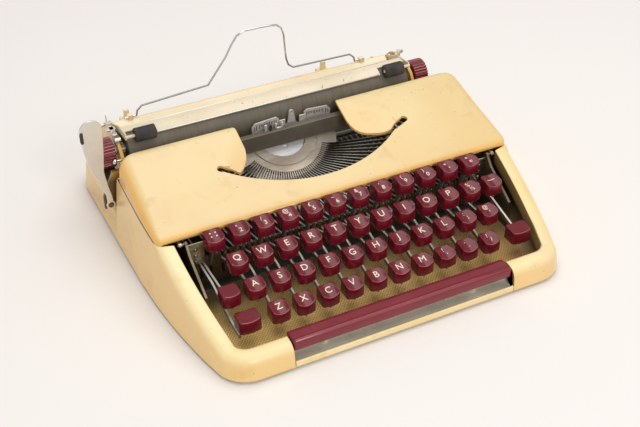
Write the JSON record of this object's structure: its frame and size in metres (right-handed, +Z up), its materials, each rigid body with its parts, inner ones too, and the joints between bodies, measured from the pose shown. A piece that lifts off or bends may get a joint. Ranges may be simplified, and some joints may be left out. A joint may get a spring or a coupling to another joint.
{
  "type": "portable typewriter",
  "caption": "Flat portable typewriter with a cream casing, hinged ribbon cover, stepped maroon keyboard, fanned type basket and a sliding carriage with platen, bail and return lever.",
  "frame": {"origin": "on the floor, under the middle of the outline at rest, return lever included", "axes": "+X to the typist's right along the platen, +Y to the back, +Z up"},
  "size_m": [0.32, 0.285, 0.1318],
  "materials": {
    "cream_paint": "satin",
    "pan_paint": "satin",
    "woven_mat": "matte",
    "rubber": "matte",
    "steel": "brushed",
    "dark_metal": "satin",
    "chrome": "polished",
    "maroon": "gloss",
    "ivory": "satin",
    "brass": "satin",
    "ribbon": "matte"
  },
  "bodies": {
    "machine": {"base_pan": "pan_paint", "lower_casing": "cream_paint", "front_strip": "cream_paint", "rubber_feet": "rubber", "keyboard_mat": "woven_mat", "left_side_plate": "steel", "right_side_plate": "steel", "lever_fulcrum_rod": "steel", "key_comb": "steel", "type_segment": "steel", "segment_plate": "chrome", "typebars": "steel", "front_rail": "dark_metal", "type_guide": "chrome", "line_gauges": "chrome", "ribbon_cups": "dark_metal", "carriage_rail": "dark_metal"},
    "cover": {"ribbon_cover": "cream_paint", "cover_hinges": "steel"},
    "vibrator": {"ribbon_vibrator": "steel"},
    "left_spool": {"left_ribbon_spool": "ribbon"},
    "right_spool": {"right_ribbon_spool": "ribbon"},
    "pinion": {"escapement_pinion": "brass"},
    "number_keys": {"number_row_caps": "maroon", "number_row_levers": "steel"},
    "top_keys": {"top_row_caps": "maroon", "top_row_levers": "steel"},
    "home_keys": {"home_row_caps": "maroon", "home_row_levers": "steel"},
    "bottom_keys": {"bottom_row_caps": "maroon", "bottom_row_levers": "steel"},
    "shift_keys": {"shift_caps": "maroon", "shift_yoke": "steel"},
    "shift_lock": {"shift_lock_cap": "maroon", "shift_lock_lever": "steel"},
    "backspace": {"backspace_cap": "maroon", "backspace_lever": "steel"},
    "margin_release": {"margin_release_cap": "maroon", "margin_release_lever": "steel"},
    "space_bar": {"space_bar": "maroon", "space_bar_stems": "steel"},
    "carriage": {"carriage_bed": "dark_metal", "carriage_rack": "steel", "left_end_plate": "cream_paint", "right_end_plate": "cream_paint", "paper_table": "cream_paint", "margin_rail": "steel"},
    "platen": {"platen": "rubber", "platen_shaft": "steel", "platen_knobs": "maroon", "line_ratchet": "steel"},
    "front_feed": {"front_feed_roller": "rubber"},
    "rear_feed": {"rear_feed_roller": "rubber"},
    "left_stop": {"left_margin_stop": "steel"},
    "right_stop": {"right_margin_stop": "steel"},
    "return_lever": {"return_lever": "chrome"},
    "bail": {"paper_bail": "ivory"},
    "bail_rollers": {"bail_rollers": "rubber"},
    "paper_support": {"paper_support": "chrome"},
    "paper_release": {"paper_release_lever": "chrome"}
  },
  "joints": [
    {"name": "cover_hinge", "type": "hinge", "parent": "machine", "child": "cover", "pos_m": [0.008, -0.0424, 0.0505], "axis": [1, 0, 0], "range_deg": [0, 40]},
    {"name": "number_row_press", "type": "hinge", "parent": "machine", "child": "number_keys", "pos_m": [0.008, 0.075, 0.011], "axis": [1, 0, 0], "range_deg": [0, 3.6], "stiffness_Nm_per_rad": 3, "springref_deg": -4.01},
    {"name": "top_row_press", "type": "hinge", "parent": "machine", "child": "top_keys", "pos_m": [0.008, 0.075, 0.011], "axis": [1, 0, 0], "range_deg": [0, 3.15], "stiffness_Nm_per_rad": 3, "springref_deg": -4.01},
    {"name": "home_row_press", "type": "hinge", "parent": "machine", "child": "home_keys", "pos_m": [0.008, 0.075, 0.011], "axis": [1, 0, 0], "range_deg": [0, 2.8], "stiffness_Nm_per_rad": 3, "springref_deg": -4.58},
    {"name": "bottom_row_press", "type": "hinge", "parent": "machine", "child": "bottom_keys", "pos_m": [0.008, 0.075, 0.011], "axis": [1, 0, 0], "range_deg": [0, 2.5], "stiffness_Nm_per_rad": 3, "springref_deg": -4.58},
    {"name": "shift_press", "type": "hinge", "parent": "machine", "child": "shift_keys", "pos_m": [0.008, 0.075, 0.011], "axis": [1, 0, 0], "range_deg": [0, 2.5], "stiffness_Nm_per_rad": 3, "springref_deg": -3.44},
    {"name": "shift_lock_press", "type": "hinge", "parent": "shift_keys", "child": "shift_lock", "pos_m": [0.008, 0.075, 0.011], "axis": [1, 0, 0], "range_deg": [0, 0.6], "stiffness_Nm_per_rad": 0.8, "springref_deg": -2.29},
    {"name": "backspace_press", "type": "hinge", "parent": "machine", "child": "backspace", "pos_m": [0.008, 0.075, 0.011], "axis": [1, 0, 0], "range_deg": [0, 3.15], "stiffness_Nm_per_rad": 0.5, "springref_deg": -3.44},
    {"name": "margin_release_press", "type": "hinge", "parent": "machine", "child": "margin_release", "pos_m": [0.008, 0.075, 0.011], "axis": [1, 0, 0], "range_deg": [0, 3.6], "stiffness_Nm_per_rad": 0.5, "springref_deg": -3.44},
    {"name": "space_bar_press", "type": "slide", "parent": "machine", "child": "space_bar", "axis": [0, 0, -1], "range_m": [0, 0.005], "stiffness_N_per_m": 100, "springref_m": -0.004},
    {"name": "vibrator_lift", "type": "slide", "parent": "machine", "child": "vibrator", "axis": [0, 0, 1], "range_m": [0, 0.007]},
    {"name": "left_spool_turn", "type": "hinge", "parent": "machine", "child": "left_spool", "pos_m": [-0.104, 0.014, 0.05], "axis": [0, 0, 1], "continuous": true},
    {"name": "right_spool_turn", "type": "hinge", "parent": "machine", "child": "right_spool", "pos_m": [0.12, 0.014, 0.05], "axis": [0, 0, 1], "continuous": true},
    {"name": "carriage_slide", "type": "slide", "parent": "machine", "child": "carriage", "axis": [1, 0, 0], "range_m": [-0.112, 0.094]},
    {"name": "pinion_turn", "type": "hinge", "parent": "machine", "child": "pinion", "pos_m": [0.004, 0.1092, 0.03151], "axis": [0, 1, 0], "range_deg": [-794, 667]},
    {"name": "platen_turn", "type": "hinge", "parent": "carriage", "child": "platen", "pos_m": [-0.005, 0.0634, 0.07], "axis": [1, 0, 0], "continuous": true},
    {"name": "front_feed_turn", "type": "hinge", "parent": "carriage", "child": "front_feed", "pos_m": [-0.005, 0.06064, 0.05039], "axis": [1, 0, 0], "continuous": true},
    {"name": "rear_feed_turn", "type": "hinge", "parent": "carriage", "child": "rear_feed", "pos_m": [-0.005, 0.07613, 0.05483], "axis": [1, 0, 0], "continuous": true},
    {"name": "left_stop_slide", "type": "slide", "parent": "carriage", "child": "left_stop", "axis": [1, 0, 0], "range_m": [0, 0.06]},
    {"name": "right_stop_slide", "type": "slide", "parent": "carriage", "child": "right_stop", "axis": [1, 0, 0], "range_m": [-0.06, 0]},
    {"name": "return_lever_swing", "type": "hinge", "parent": "carriage", "child": "return_lever", "pos_m": [-0.144, 0.0464, 0.035], "axis": [0, 1, 0], "range_deg": [0, 18], "stiffness_Nm_per_rad": 0.2, "springref_deg": -5.73},
    {"name": "bail_lift", "type": "hinge", "parent": "carriage", "child": "bail", "pos_m": [-0.005, 0.083, 0.078], "axis": [1, 0, 0], "range_deg": [-50, 0]},
    {"name": "bail_roller_turn", "type": "hinge", "parent": "bail", "child": "bail_rollers", "pos_m": [-0.005, 0.05079, 0.08704], "axis": [1, 0, 0], "continuous": true},
    {"name": "paper_support_fold", "type": "hinge", "parent": "carriage", "child": "paper_support", "pos_m": [-0.005, 0.088, 0.08], "axis": [1, 0, 0], "range_deg": [-80, 0]},
    {"name": "paper_release_pull", "type": "hinge", "parent": "carriage", "child": "paper_release", "pos_m": [-0.005, 0.082, 0.07], "axis": [1, 0, 0], "range_deg": [0, 20], "stiffness_Nm_per_rad": 0.1, "springref_deg": -5.73}
  ],
  "couplings": [
    {"joint": "pinion_turn", "follows": "carriage_slide", "rad_per_m": 123.68},
    {"joint": "front_feed_turn", "follows": "platen_turn", "ratio": -3.875},
    {"joint": "rear_feed_turn", "follows": "platen_turn", "ratio": -3.875},
    {"joint": "bail_roller_turn", "follows": "platen_turn", "ratio": -2.8704}
  ]
}
